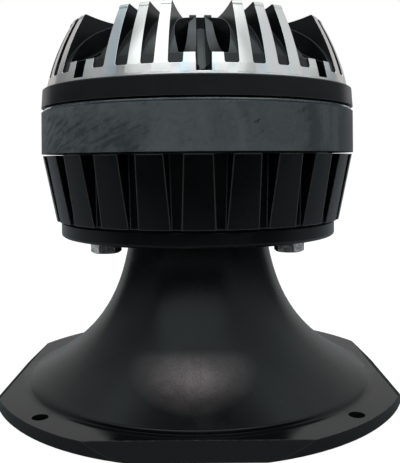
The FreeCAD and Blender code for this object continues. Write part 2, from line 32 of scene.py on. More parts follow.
room = {"floorAhead": 0.24, "floorBehind": 2.2, "floorSide": 1.8, "floorDrop": 0.0002,
        "wallDistance": 1.6, "wallHeight": 2.4,
        "wallGlow": 0.5, "floorGlow": 0.78, "glowStrength": 1.22, "floorRoughness": 0.9,
        "floorColour": (0.85, 0.85, 0.85), "floorMirrored": (0.36, 0.37, 0.39)}

# studio light by direction, in degrees: azimuth from the front to the right, height over the
# horizon, and the width of each soft border
lights = {
    "frontBox": {"azimuth": (-60, 42), "height": (30, 95), "border": (7, 3), "level": 1.30},
    "ceiling": {"azimuth": (-400, 400), "height": (50, 95), "border": (1, 9), "level": 0.95},
    "rightSide": {"azimuth": (42, 400), "height": (16, 95), "border": (8, 10), "level": 0.66},
    "lowFront": {"azimuth": (-66, 56), "height": (6, 17), "border": (12, 4), "level": 0.30},
    "leftSide": {"azimuth": (-400, -62), "height": (16, 95), "border": (8, 10), "level": 0.42},
}
darkLevel = 0.02
lightColour = (0.87, 0.98, 1.0)

# a second box overhead, as the reach of its direction to the side and from front to back
overheadBox = {"side": (-0.36, 0.36), "depth": (-0.31, 0.27), "border": 0.035, "level": 2.3}


def addCamera():
    camera = bpy.data.cameras.new("photoCamera")
    camera.sensor_width = 36.0
    camera.lens = photo["focal"] / photo["height"] * camera.sensor_width
    camera.shift_x = (photo["width"] / 2 - photo["axisX"]) / photo["height"]
    camera.shift_y = (photo["axisY"] - photo["height"] / 2) / photo["height"]
    camera.clip_start = 0.01
    holder = bpy.data.objects.new("photoCamera", camera)
    holder.location = (cameraSpot["x"], cameraSpot["y"], cameraSpot["z"])
    holder.rotation_euler = (math.radians(90), cameraSpot["roll"], 0)
    bpy.context.scene.collection.objects.link(holder)
    bpy.context.scene.camera = holder


addCamera()
print("camera placed")


# shader helpers

def startMaterial(name):
    material = bpy.data.materials.new(name)
    material.use_nodes = True
    tree = material.node_tree
    shader = tree.nodes["Principled BSDF"]
    return material, tree, shader


def addNode(tree, kind, **values):
    node = tree.nodes.new(kind)
    for key, value in values.items():
        setattr(node, key, value)
    return node


def mathNode(tree, operation, first, second=None, third=None):
    node = addNode(tree, "ShaderNodeMath", operation=operation)
    for place, value in enumerate((first, second, third)):
        if value is None:
            continue
        if isinstance(value, (int, float)):
            node.inputs[place].default_value = value
        else:
            tree.links.new(value, node.inputs[place])
    return node.outputs[0]


def mixColours(tree, factor, first, second):
    node = addNode(tree, "ShaderNodeMix", data_type="RGBA")
    for place, value in ((0, factor), (6, first), (7, second)):
        socket = node.inputs[place]
        if isinstance(value, (int, float)):
            socket.default_value = value
        elif isinstance(value, tuple):
            socket.default_value = value + (1.0,)
        else:
            tree.links.new(value, socket)
    return node.outputs[2]


def rampNode(tree, source, low, high, lowValue=0.0, highValue=1.0):
    node = addNode(tree, "ShaderNodeMapRange")
    node.inputs["From Min"].default_value = low
    node.inputs["From Max"].default_value = high
    node.inputs["To Min"].default_value = lowValue
    node.inputs["To Max"].default_value = highValue
    tree.links.new(source, node.inputs["Value"])
    return node.outputs["Result"]


def softBand(tree, source, low, high, border):
    # 1 between the two marks, with a soft step at each
    rise = rampNode(tree, source, low - border, low + border)
    fall = rampNode(tree, source, high - border, high + border, 1.0, 0.0)
    return mathNode(tree, "MULTIPLY", rise, fall)


def angleBand(tree, source, angles, border):
    low, high = (math.radians(angle) for angle in angles)
    return softBand(tree, source, low, high, math.radians(border))


def noiseNode(tree, vector, **values):
    node = addNode(tree, "ShaderNodeTexNoise")
    for label, value in values.items():
        node.inputs[label].default_value = value
    tree.links.new(vector, node.inputs["Vector"])
    return node


def newGroup(name, inputs, outputs):
    group = bpy.data.node_groups.new(name, "ShaderNodeTree")
    for label, kind, value in inputs:
        socket = group.interface.new_socket(label, in_out="INPUT", socket_type=kind)
        if value is not None:
            socket.default_value = value
    for label, kind in outputs:
        group.interface.new_socket(label, in_out="OUTPUT", socket_type=kind)
    entry = group.nodes.new("NodeGroupInput")
    leave = group.nodes.new("NodeGroupOutput")
    return group, entry, leave


def placeGroup(tree, group, **values):
    node = tree.nodes.new("ShaderNodeGroup")
    node.node_tree = group
    for label, value in values.items():
        node.inputs[label].default_value = value
    return node


# the coarse grain's scale is a share of the fine one's, and marks show where their noise is high
grainLook = {"fineDetail": 3.0, "coarseDetail": 2.0, "coarseShare": 0.12, "paintCoarse": 0.3}
smudgeNoise = {"Detail": 6.0, "Roughness": 0.62, "Distortion": 0.8}
smudgeShows = (0.42, 0.72)


def buildGrain():
    # fine moulded or sprayed grain: a height from two sizes of noise
    group, entry, leave = newGroup("surfaceGrain", [("Scale", "NodeSocketFloat", 1500.0),
                                                    ("Coarse", "NodeSocketFloat", 0.3)],
                                   [("Height", "NodeSocketFloat"), ("Mask", "NodeSocketFloat")])
    coords = addNode(group, "ShaderNodeTexCoord")
    fine = noiseNode(group, coords.outputs["Object"], Detail=grainLook["fineDetail"])
    coarse = noiseNode(group, coords.outputs["Object"], Detail=grainLook["coarseDetail"])
    group.links.new(entry.outputs["Scale"], fine.inputs["Scale"])
    wide = mathNode(group, "MULTIPLY", entry.outputs["Scale"], grainLook["coarseShare"])
    group.links.new(wide, coarse.inputs["Scale"])
    part = mathNode(group, "MULTIPLY", coarse.outputs["Fac"], entry.outputs["Coarse"])
    total = mathNode(group, "ADD", fine.outputs["Fac"], part)
    group.links.new(total, leave.inputs["Height"])
    group.links.new(coarse.outputs["Fac"], leave.inputs["Mask"])
    return group


def buildSmudge():
    # cloudy handling marks: a mask from 0 to 1
    group, entry, leave = newGroup("handlingMarks", [("Scale", "NodeSocketFloat", 40.0),
                                                     ("Amount", "NodeSocketFloat", 0.5)],
                                   [("Mask", "NodeSocketFloat")])
    coords = addNode(group, "ShaderNodeTexCoord")
    cloud = noiseNode(group, coords.outputs["Object"], **smudgeNoise)
    group.links.new(entry.outputs["Scale"], cloud.inputs["Scale"])
    clear = rampNode(group, cloud.outputs["Fac"], *smudgeShows)
    amount = mathNode(group, "MULTIPLY", clear, entry.outputs["Amount"])
    group.links.new(amount, leave.inputs["Mask"])
    return group


def buildTurned():
    # lathe marks: fine rings that follow the height on the axis
    group, entry, leave = newGroup("turnedRings", [("Rings", "NodeSocketFloat", 900.0)],
                                   [("Height", "NodeSocketFloat")])
    coords = addNode(group, "ShaderNodeTexCoord")
    parts = addNode(group, "ShaderNodeSeparateXYZ")
    group.links.new(coords.outputs["Object"], parts.inputs[0])
    ring = addNode(group, "ShaderNodeTexNoise", noise_dimensions="1D")
    ring.inputs["Detail"].default_value = 2.0
    along = mathNode(group, "MULTIPLY", parts.outputs["Z"], entry.outputs["Rings"])
    group.links.new(along, ring.inputs["W"])
    ring.inputs["Scale"].default_value = 1.0
    group.links.new(ring.outputs["Fac"], leave.inputs["Height"])
    return group


grainGroup = buildGrain()
smudgeGroup = buildSmudge()
turnedGroup = buildTurned()


def addBump(tree, shader, height, strength, distance):
    bump = addNode(tree, "ShaderNodeBump")
    bump.inputs["Strength"].default_value = strength
    bump.inputs["Distance"].default_value = distance
    tree.links.new(height, bump.inputs["Height"])
    tree.links.new(bump.outputs["Normal"], shader.inputs["Normal"])
    return bump


def softEdges(tree, bump, radius):
    # small cast or moulded rounds on the sharp edges
    bevel = addNode(tree, "ShaderNodeBevel", samples=6)
    bevel.inputs["Radius"].default_value = radius
    tree.links.new(bevel.outputs["Normal"], bump.inputs["Normal"])


def edgeHighlightMask(tree, radius, shows):
    # painted highlight along edges: a mask that grows where a round over the edge would turn away from
    # the true face
    bevel = addNode(tree, "ShaderNodeBevel", samples=6)
    bevel.inputs["Radius"].default_value = radius
    geometry = addNode(tree, "ShaderNodeNewGeometry")
    facing = addNode(tree, "ShaderNodeVectorMath", operation="DOT_PRODUCT")
    tree.links.new(bevel.outputs["Normal"], facing.inputs[0])
    tree.links.new(geometry.outputs["True Normal"], facing.inputs[1])
    turned = mathNode(tree, "SUBTRACT", 1.0, facing.outputs["Value"])
    return rampNode(tree, turned, *shows)


# how the painted highlight along the edges of the housing paint fades in
paintEdgeHighlightShows = (0.01, 0.16)
metalGrain = {"coarse": 0.4, "shows": (0.3, 0.7), "roughnessSpread": 0.12}


def coatedMaterial(name, look):
    # black plastic, paint and rubber share this build: colour, grain, marks, and where given a painted
    # highlight along the edges
    material, tree, shader = startMaterial(name)
    shader.inputs["IOR"].default_value = look.get("ior", 1.45)
    grain = placeGroup(tree, grainGroup, Scale=look["grainScale"], Coarse=grainLook["paintCoarse"])
    marks = placeGroup(tree, smudgeGroup, Scale=look["markScale"], Amount=look["marks"])
    colour = mixColours(tree, marks.outputs["Mask"], look["colour"], look["markColour"])
    if look.get("edgeHighlightColour"):
        # painted highlight along the edges, lighter where a round would catch the light
        rubMarksAndEdgeHighlight = edgeHighlightMask(tree, look["edgeHighlightWidth"] * mm, paintEdgeHighlightShows)
        colour = mixColours(tree, rubMarksAndEdgeHighlight, colour, look["edgeHighlightColour"])
    tree.links.new(colour, shader.inputs["Base Color"])
    rough = rampNode(tree, marks.outputs["Mask"], 0.0, 1.0, look["roughness"],
                     look["markRoughness"])
    tree.links.new(rough, shader.inputs["Roughness"])
    bump = addBump(tree, shader, grain.outputs["Height"], look["grainStrength"],
                   look["grainDepth"] * mm)
    if look.get("edge"):
        softEdges(tree, bump, look["edge"] * mm)
    return material


def metalMaterial(name, look):
    material, tree, shader = startMaterial(name)
    shader.inputs["Metallic"].default_value = 1.0
    grain = placeGroup(tree, grainGroup, Scale=look["grainScale"], Coarse=metalGrain["coarse"])
    marks = placeGroup(tree, smudgeGroup, Scale=look["markScale"], Amount=look["marks"])
    colour = mixColours(tree, marks.outputs["Mask"], look["colour"], look["markColour"])
    tree.links.new(colour, shader.inputs["Base Color"])
    rough = rampNode(tree, grain.outputs["Mask"], *metalGrain["shows"], look["roughness"],
                     look["roughness"] + metalGrain["roughnessSpread"])
    tree.links.new(rough, shader.inputs["Roughness"])
    bump = addBump(tree, shader, grain.outputs["Height"], look["grainStrength"],
                   look["grainDepth"] * mm)
    if look.get("edge"):
        softEdges(tree, bump, look["edge"] * mm)
    return material


coated = {
    "housingPaint": {"colour": (0.0022, 0.0024, 0.0026), "markColour": (0.006, 0.0062, 0.0065),
                     "roughness": 0.27, "markRoughness": 0.40, "grainScale": 1100.0,
                     "grainStrength": 0.10, "grainDepth": 0.04, "markScale": 45.0, "marks": 0.4,
                     "edge": 1.0, "edgeHighlightColour": (0.105, 0.110, 0.113), "edgeHighlightWidth": 1.0, "ior": 1.34},
    "gasketRubber": {"colour": (0.004, 0.004, 0.004), "markColour": (0.008, 0.008, 0.008),
                     "roughness": 0.7, "markRoughness": 0.8, "grainScale": 1500.0, "grainStrength": 0.2,
                     "grainDepth": 0.04, "markScale": 60.0, "marks": 0.3},
    "terminalPlastic": {"colour": (0.008, 0.008, 0.009), "markColour": (0.014, 0.014, 0.014),
                        "roughness": 0.45, "markRoughness": 0.55, "grainScale": 2600.0,
                        "grainStrength": 0.2, "grainDepth": 0.03, "markScale": 120.0, "marks": 0.3,
                        "edge": 0.2},
    "padFelt": {"colour": (0.035, 0.035, 0.036), "markColour": (0.07, 0.07, 0.07), "roughness": 0.95,
                "markRoughness": 1.0, "grainScale": 2200.0, "grainStrength": 0.8, "grainDepth": 0.25,
                "markScale": 90.0, "marks": 0.6},
    "surroundFilm": {"colour": (0.30, 0.17, 0.06), "markColour": (0.22, 0.12, 0.04), "roughness": 0.35,
                     "markRoughness": 0.45, "grainScale": 900.0, "grainStrength": 0.1,
                     "grainDepth": 0.03, "markScale": 60.0, "marks": 0.4},
    "formerFilm": {"colour": (0.42, 0.21, 0.05), "markColour": (0.30, 0.14, 0.04), "roughness": 0.3,
                   "markRoughness": 0.4, "grainScale": 900.0, "grainStrength": 0.1, "grainDepth": 0.03,
                   "markScale": 60.0, "marks": 0.4},
}
metals = {
    "zincBolt": {"colour": (0.96, 0.91, 0.88), "markColour": (0.10, 0.06, 0.05), "roughness": 0.14,
                 "grainScale": 900.0, "grainStrength": 1.0, "grainDepth": 0.16, "markScale": 330.0,
                 "marks": 0.8, "edge": 0.35},
    "blackScrew": {"colour": (0.03, 0.03, 0.032), "markColour": (0.05, 0.05, 0.05), "roughness": 0.42,
                   "grainScale": 1600.0, "grainStrength": 0.15, "grainDepth": 0.03, "markScale": 160.0,
                   "marks": 0.4, "edge": 0.2},
    "brightSteel": {"colour": (0.90, 0.94, 0.97), "markColour": (0.35, 0.40, 0.46), "roughness": 0.14,
                    "grainScale": 1200.0, "grainStrength": 0.1, "grainDepth": 0.03, "markScale": 30.0,
                    "marks": 0.9, "edge": 0.45},
    "platedSteel": {"colour": (0.50, 0.50, 0.50), "markColour": (0.38, 0.37, 0.35), "roughness": 0.34,
                    "grainScale": 1200.0, "grainStrength": 0.15, "grainDepth": 0.04, "markScale": 60.0,
                    "marks": 0.6, "edge": 0.4},
    "plainAlloy": {"colour": (0.60, 0.61, 0.62), "markColour": (0.46, 0.46, 0.47), "roughness": 0.38,
                   "grainScale": 1300.0, "grainStrength": 0.2, "grainDepth": 0.05, "markScale": 70.0,
                   "marks": 0.5, "edge": 0.3},
    "foil": {"colour": (0.72, 0.72, 0.74), "markColour": (0.58, 0.58, 0.60), "roughness": 0.26,
             "grainScale": 700.0, "grainStrength": 0.12, "grainDepth": 0.04, "markScale": 50.0,
             "marks": 0.4},
    "copper": {"colour": (0.76, 0.36, 0.22), "markColour": (0.48, 0.22, 0.14), "roughness": 0.28,
               "grainScale": 1200.0, "grainStrength": 0.1, "grainDepth": 0.03, "markScale": 80.0,
               "marks": 0.6},
    "coilWire": {"colour": (0.62, 0.44, 0.30), "markColour": (0.46, 0.30, 0.20), "roughness": 0.34,
                 "grainScale": 2400.0, "grainStrength": 0.3, "grainDepth": 0.05, "markScale": 120.0,
                 "marks": 0.4},
    "tinnedBrass": {"colour": (0.70, 0.62, 0.42), "markColour": (0.52, 0.45, 0.30), "roughness": 0.30,
                    "grainScale": 1800.0, "grainStrength": 0.12, "grainDepth": 0.03,
                    "markScale": 160.0, "marks": 0.5, "edge": 0.1},
}
# horn: moulded black plastic, glossy on the bell and dull on the sawn sides of its flange, with a
# painted highlight low on the front of the bell
hornLook = {"colour": (0.0042, 0.0046, 0.005), "markColour": (0.012, 0.0125, 0.013), "gloss": 0.25,
            "markGloss": 0.36, "sideRoughness": 0.9, "sideColour": (0.006, 0.0063, 0.0066),
            "chipColour": (0.055, 0.057, 0.06), "lineColour": (0.02, 0.0205, 0.021),
            "flangeTop": 6.2, "flatReach": 96.85, "flangeReach": 108.35, "chipDepth": 0.2,
            "footInner": 88.0, "footOuter": 96.0, "footBorder": 0.5, "footTop": 11.0,
            "footRound": 6.0, "edgeRound": 0.35,
            "frontTurn": 38.0, "frontSpread": 0.4, "seamX": 1.0, "seamHalf": 0.16, "seamTop": 80.0,
            "seamShare": 0.75, "seamHeight": 0.8, "paintedHighlightColour": (0.340, 0.268, 0.268),
            "paintedHighlightTop": 31.5, "paintedHighlightTopLean": 7.0, "paintedHighlightFade": (2.5, 1.0), "paintedHighlightClouds": (0.6, 0.72),
            "speckle": 0.28, "speckleShows": (0.45, 0.85), "arcGloss": 0.45,
            "stripTurn": 38.0, "stripFade": 8.0, "stripInner": 92.2, "stripGloss": 0.10,
            "grain": {"Scale": 1400.0, "Coarse": 0.3}, "marks": {"Scale": 20.0, "Amount": 0.7},
            "specks": {"Scale": 420.0, "Amount": 1.0}, "clouds": {"Scale": 52.0, "Amount": 0.6},
            "dots": {"Scale": 300.0, "Amount": 1.0}, "grainStrength": 0.30, "grainDepth": 0.05,
            "ior": 1.35}

# the painted highlight on the bell, a grey patch that stands in for a reflection: ovals by their middle
# and half size in millimetres
paintedHighlightSpots = [
    {"x": -2.5, "z": 23.8, "halfWidth": 19.5, "halfHeight": 8.0, "border": 0.6, "share": 0.39},
    {"x": -4.5, "z": 22.4, "halfWidth": 12.5, "halfHeight": 4.4, "border": 0.6, "share": 0.24},
]


def buildHornPlaces():
    # masks by place on the horn: sides of the flange, its round sides, their top edge, foot of the
    # bell, moulding seam, painted highlight and the flat before the bell
    masks = ("Side", "Arc", "Rim", "Foot", "Seam", "PaintedHighlight", "Strip")
    group, entry, leave = newGroup("hornPlaces", [], [(mask, "NodeSocketFloat") for mask in masks])
    coords = addNode(group, "ShaderNodeTexCoord")
    scaled = addNode(group, "ShaderNodeVectorMath", operation="SCALE")
    scaled.inputs["Scale"].default_value = 1 / mm
    group.links.new(coords.outputs["Object"], scaled.inputs[0])
    parts = addNode(group, "ShaderNodeSeparateXYZ")
    group.links.new(scaled.outputs[0], parts.inputs[0])
    x, y, z = parts.outputs["X"], parts.outputs["Y"], parts.outputs["Z"]
    reach = mathNode(group, "SQRT", mathNode(group, "ADD", mathNode(group, "MULTIPLY", x, x),
                                             mathNode(group, "MULTIPLY", y, y)))
    square = mathNode(group, "MAXIMUM", mathNode(group, "ABSOLUTE", x),
                      mathNode(group, "ABSOLUTE", y))

    def beyond(margin):
        flat = mathNode(group, "GREATER_THAN", square, hornLook["flatReach"] - margin)
        arc = mathNode(group, "GREATER_THAN", reach, hornLook["flangeReach"] - margin)
        return mathNode(group, "MAXIMUM", flat, arc)

    chip = hornLook["chipDepth"]
    skin = 0.05
    below = mathNode(group, "LESS_THAN", z, hornLook["flangeTop"] - skin)
    group.links.new(mathNode(group, "MULTIPLY", beyond(0.0), below), leave.inputs["Side"])
    arc = mathNode(group, "GREATER_THAN", reach, hornLook["flangeReach"])
    group.links.new(mathNode(group, "MULTIPLY", arc, below), leave.inputs["Arc"])
    near = mathNode(group, "COMPARE", z, hornLook["flangeTop"], chip)
    group.links.new(mathNode(group, "MULTIPLY", beyond(chip), near), leave.inputs["Rim"])
    foot = softBand(group, reach, hornLook["footInner"], hornLook["footOuter"],
                    hornLook["footBorder"])
    low = mathNode(group, "LESS_THAN", z, hornLook["footTop"])
    around = mathNode(group, "ARCTAN2", x, mathNode(group, "MULTIPLY", y, -1.0))
    turn = mathNode(group, "ABSOLUTE", around)
    front = math.radians(hornLook["frontTurn"])
    aside = rampNode(group, turn, front * (1 - hornLook["frontSpread"]),
                     front * (1 + hornLook["frontSpread"]))
    footMask = mathNode(group, "MULTIPLY", mathNode(group, "MULTIPLY", foot, low), aside)
    group.links.new(footMask, leave.inputs["Foot"])
    seam = mathNode(group, "COMPARE", x, hornLook["seamX"], hornLook["seamHalf"])
    high = mathNode(group, "LESS_THAN", z, hornLook["seamTop"])
    onBell = mathNode(group, "GREATER_THAN", z, hornLook["flangeTop"] + 6 * skin)
    seam = mathNode(group, "MULTIPLY", mathNode(group, "MULTIPLY", seam, high), onBell)
    group.links.new(seam, leave.inputs["Seam"])
    # painted highlight: a grey patch low on the front of the bell, cut off along its top, standing in
    # for a reflection
    lean = mathNode(group, "MULTIPLY", mathNode(group, "MULTIPLY", around, around),
                    hornLook["paintedHighlightTopLean"])
    fadeBelow, fadeAbove = hornLook["paintedHighlightFade"]
    fall = rampNode(group, mathNode(group, "ADD", z, lean), hornLook["paintedHighlightTop"] - fadeBelow,
                    hornLook["paintedHighlightTop"] + fadeAbove, 1.0, 0.0)
    ahead = mathNode(group, "LESS_THAN", y, 0.0)
    spots = 0.0
    for spot in paintedHighlightSpots:
        across = mathNode(group, "SUBTRACT", x, spot["x"])
        across = mathNode(group, "DIVIDE", across, spot["halfWidth"])
        upward = mathNode(group, "SUBTRACT", z, spot["z"])
        upward = mathNode(group, "DIVIDE", upward, spot["halfHeight"])
        far = mathNode(group, "SQRT", mathNode(group, "MULTIPLY_ADD", across, across,
                                               mathNode(group, "MULTIPLY", upward, upward)))
        share = rampNode(group, far, 1 - spot["border"], 1 + spot["border"], spot["share"], 0.0)
        spots = mathNode(group, "ADD", share, spots)
    spots = mathNode(group, "MULTIPLY", mathNode(group, "MULTIPLY", spots, fall), ahead)
    group.links.new(spots, leave.inputs["PaintedHighlight"])
    # the flat before the bell has been wiped to a deeper gloss
    ahead = rampNode(group, turn, math.radians(hornLook["stripTurn"] - hornLook["stripFade"]),
                     math.radians(hornLook["stripTurn"] + hornLook["stripFade"]), 1.0, 0.0)
    past = mathNode(group, "GREATER_THAN", reach, hornLook["stripInner"])
    top = mathNode(group, "COMPARE", z, hornLook["flangeTop"], skin)
    strip = mathNode(group, "MULTIPLY", mathNode(group, "MULTIPLY", ahead, past), top)
    group.links.new(strip, leave.inputs["Strip"])
    return group


def hornMaterial():
    material, tree, shader = startMaterial("hornPlastic")
    shader.inputs["IOR"].default_value = hornLook["ior"]
    places = placeGroup(tree, buildHornPlaces())
    grain = placeGroup(tree, grainGroup, **hornLook["grain"])
    marks, specks, cloud, dots = (placeGroup(tree, smudgeGroup, **hornLook[key])
                                  for key in ("marks", "specks", "clouds", "dots"))
    colour = mixColours(tree, marks.outputs["Mask"], hornLook["colour"], hornLook["markColour"])
    # painted highlight on the front of the bell, broken by clouds and speckled by the grain
    paintedHighlight = mathNode(tree, "MULTIPLY", places.outputs["PaintedHighlight"],
                    mathNode(tree, "MULTIPLY_ADD", cloud.outputs["Mask"], *hornLook["paintedHighlightClouds"]))
    speckle = rampNode(tree, grain.outputs["Height"], *hornLook["speckleShows"],
                       1 - hornLook["speckle"], 1 + hornLook["speckle"])
    paintedHighlight = mathNode(tree, "MULTIPLY", paintedHighlight, speckle)
    colour = mixColours(tree, paintedHighlight, colour, hornLook["paintedHighlightColour"])
    colour = mixColours(tree, places.outputs["Side"], colour, hornLook["sideColour"])
    line = mathNode(tree, "MULTIPLY", places.outputs["Seam"],
                    mathNode(tree, "MULTIPLY", dots.outputs["Mask"], hornLook["seamShare"]))
    colour = mixColours(tree, line, colour, hornLook["lineColour"])
    chips = mathNode(tree, "MULTIPLY", places.outputs["Rim"], specks.outputs["Mask"])
    colour = mixColours(tree, chips, colour, hornLook["chipColour"])
    tree.links.new(colour, shader.inputs["Base Color"])
    rough = rampNode(tree, marks.outputs["Mask"], 0.0, 1.0, hornLook["gloss"],
                     hornLook["markGloss"])
    keep = mathNode(tree, "SUBTRACT", 1.0, places.outputs["Side"])
    side = mathNode(tree, "MULTIPLY", places.outputs["Side"], hornLook["sideRoughness"])
    side = mathNode(tree, "SUBTRACT", side,
                    mathNode(tree, "MULTIPLY", places.outputs["Arc"], hornLook["arcGloss"]))
    rough = mathNode(tree, "ADD", mathNode(tree, "MULTIPLY", rough, keep), side)
    wiped = mathNode(tree, "MULTIPLY", places.outputs["Strip"],
                     hornLook["stripGloss"] - hornLook["gloss"])
    rough = mathNode(tree, "MAXIMUM", mathNode(tree, "ADD", rough, wiped), hornLook["stripGloss"])
    tree.links.new(rough, shader.inputs["Roughness"])
    height = mathNode(tree, "ADD", grain.outputs["Height"],
                      mathNode(tree, "MULTIPLY", line, hornLook["seamHeight"]))
    bump = addBump(tree, shader, height, hornLook["grainStrength"], hornLook["grainDepth"] * mm)
    bevel = addNode(tree, "ShaderNodeBevel", samples=8)
    radius = rampNode(tree, places.outputs["Foot"], 0.0, 1.0, hornLook["edgeRound"] * mm,
                      hornLook["footRound"] * mm)
    tree.links.new(radius, bevel.inputs["Radius"])
    tree.links.new(bevel.outputs["Normal"], bump.inputs["Normal"])
    return material


# ferrite: dark grey, with cloudy marks, scuffs, thin scratches and a painted shade towards its
# right-hand side
ferriteLook = {"colour": (0.155, 0.166, 0.174), "darkColour": (0.055, 0.060, 0.063),
               "scratchColour": (0.022, 0.022, 0.022), "roughness": 0.5, "lean": 1.7,
               "grain": {"Scale": 1700.0, "Coarse": 0.5}, "clouds": {"Scale": 26.0, "Amount": 1.0},
               "scuffs": {"Scale": 130.0, "Amount": 1.0}, "specks": {"Scale": 520.0, "Amount": 0.5},
               "stain": {"Scale": 21.0, "Detail": 9.0, "Roughness": 0.66, "Distortion": 0.9},
               "streak": {"Scale": 420.0, "Detail": 5.0, "Roughness": 0.62, "Distortion": 0.5},
               "radius": 85.0, "slant": 24.0, "stretch": 5.0, "shadeShows": (0.36, 0.66),
               "scratchShows": (0.60, 0.66), "patchShows": (0.43, 0.56), "wispShows": (0.47, 0.60),
               "wispShare": 0.60, "grainStrength": 0.2, "grainDepth": 0.05, "edge": 0.3}


def ferriteMaterial():
    material, tree, shader = startMaterial("ferrite")
    grain = placeGroup(tree, grainGroup, **ferriteLook["grain"])
    clouds, scuffs, specks = (placeGroup(tree, smudgeGroup, **ferriteLook[key])
                              for key in ("clouds", "scuffs", "specks"))
    coords = addNode(tree, "ShaderNodeTexCoord")
    stain = noiseNode(tree, coords.outputs["Object"], **ferriteLook["stain"])
    # wisps and scratches: noise drawn out along a slanted line round the ring
    parts = addNode(tree, "ShaderNodeSeparateXYZ")
    tree.links.new(coords.outputs["Object"], parts.inputs[0])
    ahead = mathNode(tree, "MULTIPLY", parts.outputs["Y"], -1.0)
    arc = mathNode(tree, "MULTIPLY", mathNode(tree, "ARCTAN2", parts.outputs["X"], ahead),
                   ferriteLook["radius"] * mm)
    slant = math.radians(ferriteLook["slant"])
    along = mathNode(tree, "MULTIPLY_ADD", parts.outputs["Z"], math.sin(slant),
                     mathNode(tree, "MULTIPLY", arc, math.cos(slant)))
    across = mathNode(tree, "MULTIPLY_ADD", parts.outputs["Z"], math.cos(slant),
                      mathNode(tree, "MULTIPLY", arc, -math.sin(slant)))
    drawn = addNode(tree, "ShaderNodeCombineXYZ")
    tree.links.new(mathNode(tree, "MULTIPLY", along, 1 / ferriteLook["stretch"]), drawn.inputs["X"])
    tree.links.new(across, drawn.inputs["Y"])
    streak = noiseNode(tree, drawn.outputs[0], **ferriteLook["streak"])
    # painted shade: darker towards the right-hand side, added on top of the stain
    lean = mathNode(tree, "MULTIPLY", parts.outputs["X"], ferriteLook["lean"])
    shade = rampNode(tree, mathNode(tree, "ADD", stain.outputs["Fac"], lean),
                     *ferriteLook["shadeShows"])
    scratch = rampNode(tree, streak.outputs["Fac"], *ferriteLook["scratchShows"])
    scratch = mathNode(tree, "MULTIPLY", scratch, scuffs.outputs["Mask"])
    patches = rampNode(tree, stain.outputs["Fac"], *ferriteLook["patchShows"])
    wisp = rampNode(tree, streak.outputs["Fac"], *ferriteLook["wispShows"], 0.0,
                    ferriteLook["wispShare"])
    wisp = mathNode(tree, "MULTIPLY", wisp, patches)
    rubMarksAndEdgeHighlight = mathNode(tree, "MULTIPLY", clouds.outputs["Mask"], scuffs.outputs["Mask"])
    pitted = mathNode(tree, "MULTIPLY", specks.outputs["Mask"], stain.outputs["Fac"])
    dark = mathNode(tree, "ADD", mathNode(tree, "MAXIMUM", shade, rubMarksAndEdgeHighlight),
                    mathNode(tree, "ADD", pitted, wisp))
    colour = mixColours(tree, dark, ferriteLook["colour"], ferriteLook["darkColour"])
    colour = mixColours(tree, scratch, colour, ferriteLook["scratchColour"])
    tree.links.new(colour, shader.inputs["Base Color"])
    shader.inputs["Roughness"].default_value = ferriteLook["roughness"]
    height = mathNode(tree, "SUBTRACT", grain.outputs["Height"], scratch)
    bump = addBump(tree, shader, height, ferriteLook["grainStrength"],
                   ferriteLook["grainDepth"] * mm)
    softEdges(tree, bump, ferriteLook["edge"] * mm)
    return material


finishes = {name: coatedMaterial(name, look) for name, look in coated.items()}
finishes["hornPlastic"] = hornMaterial()
finishes["ferrite"] = ferriteMaterial()
finishes.update({name: metalMaterial(name, look) for name, look in metals.items()})
print("plain finishes built:", len(finishes))

# rear cover: black paint, with its outside turned bright along one arc and a painted highlight along
# its edges
coverOutline = {"foot": (82.3, 159.4), "top": (69.9, 192.8), "bulge": 1.45, "skin": 0.22,
                "paint": (0.0055, 0.0060, 0.0066), "edgeHighlight": (0.060, 0.062, 0.064),
                "neutral": (0.96, 0.90, 0.87), "blue": (0.72, 0.86, 0.97), "rose": (0.97, 0.80, 0.86),
                "bands": (("blue", 7.0, 0.55), ("rose", 11.0, 0.45)), "bandShows": (0.54, 0.66),
                "bandDetail": 1.5, "marks": {"Scale": 60.0, "Amount": 0.5},
                "markColour": (0.013, 0.0135, 0.014), "grain": {"Scale": 1200.0, "Coarse": 0.3},
                "rings": 5200.0, "edgeHighlightWidth": 0.7, "edgeHighlightShows": (0.01, 0.2), "paintGloss": (0.29, 0.40),
                "turnedGloss": -0.12, "grainStrength": 0.12, "grainDepth": 0.03, "edge": 0.3}


def arcThrough(foot, top, bulge):
    # centre and radius of the arc that bows out from its chord
    dr = top[0] - foot[0]
    dz = top[1] - foot[1]
    chord = math.hypot(dr, dz)
    radius = (chord * chord / 4 + bulge * bulge) / (2 * bulge)
    back = radius - bulge
    centreR = (foot[0] + top[0]) / 2 - dz / chord * back
    centreZ = (foot[1] + top[1]) / 2 + dr / chord * back
    return centreR, centreZ, radius


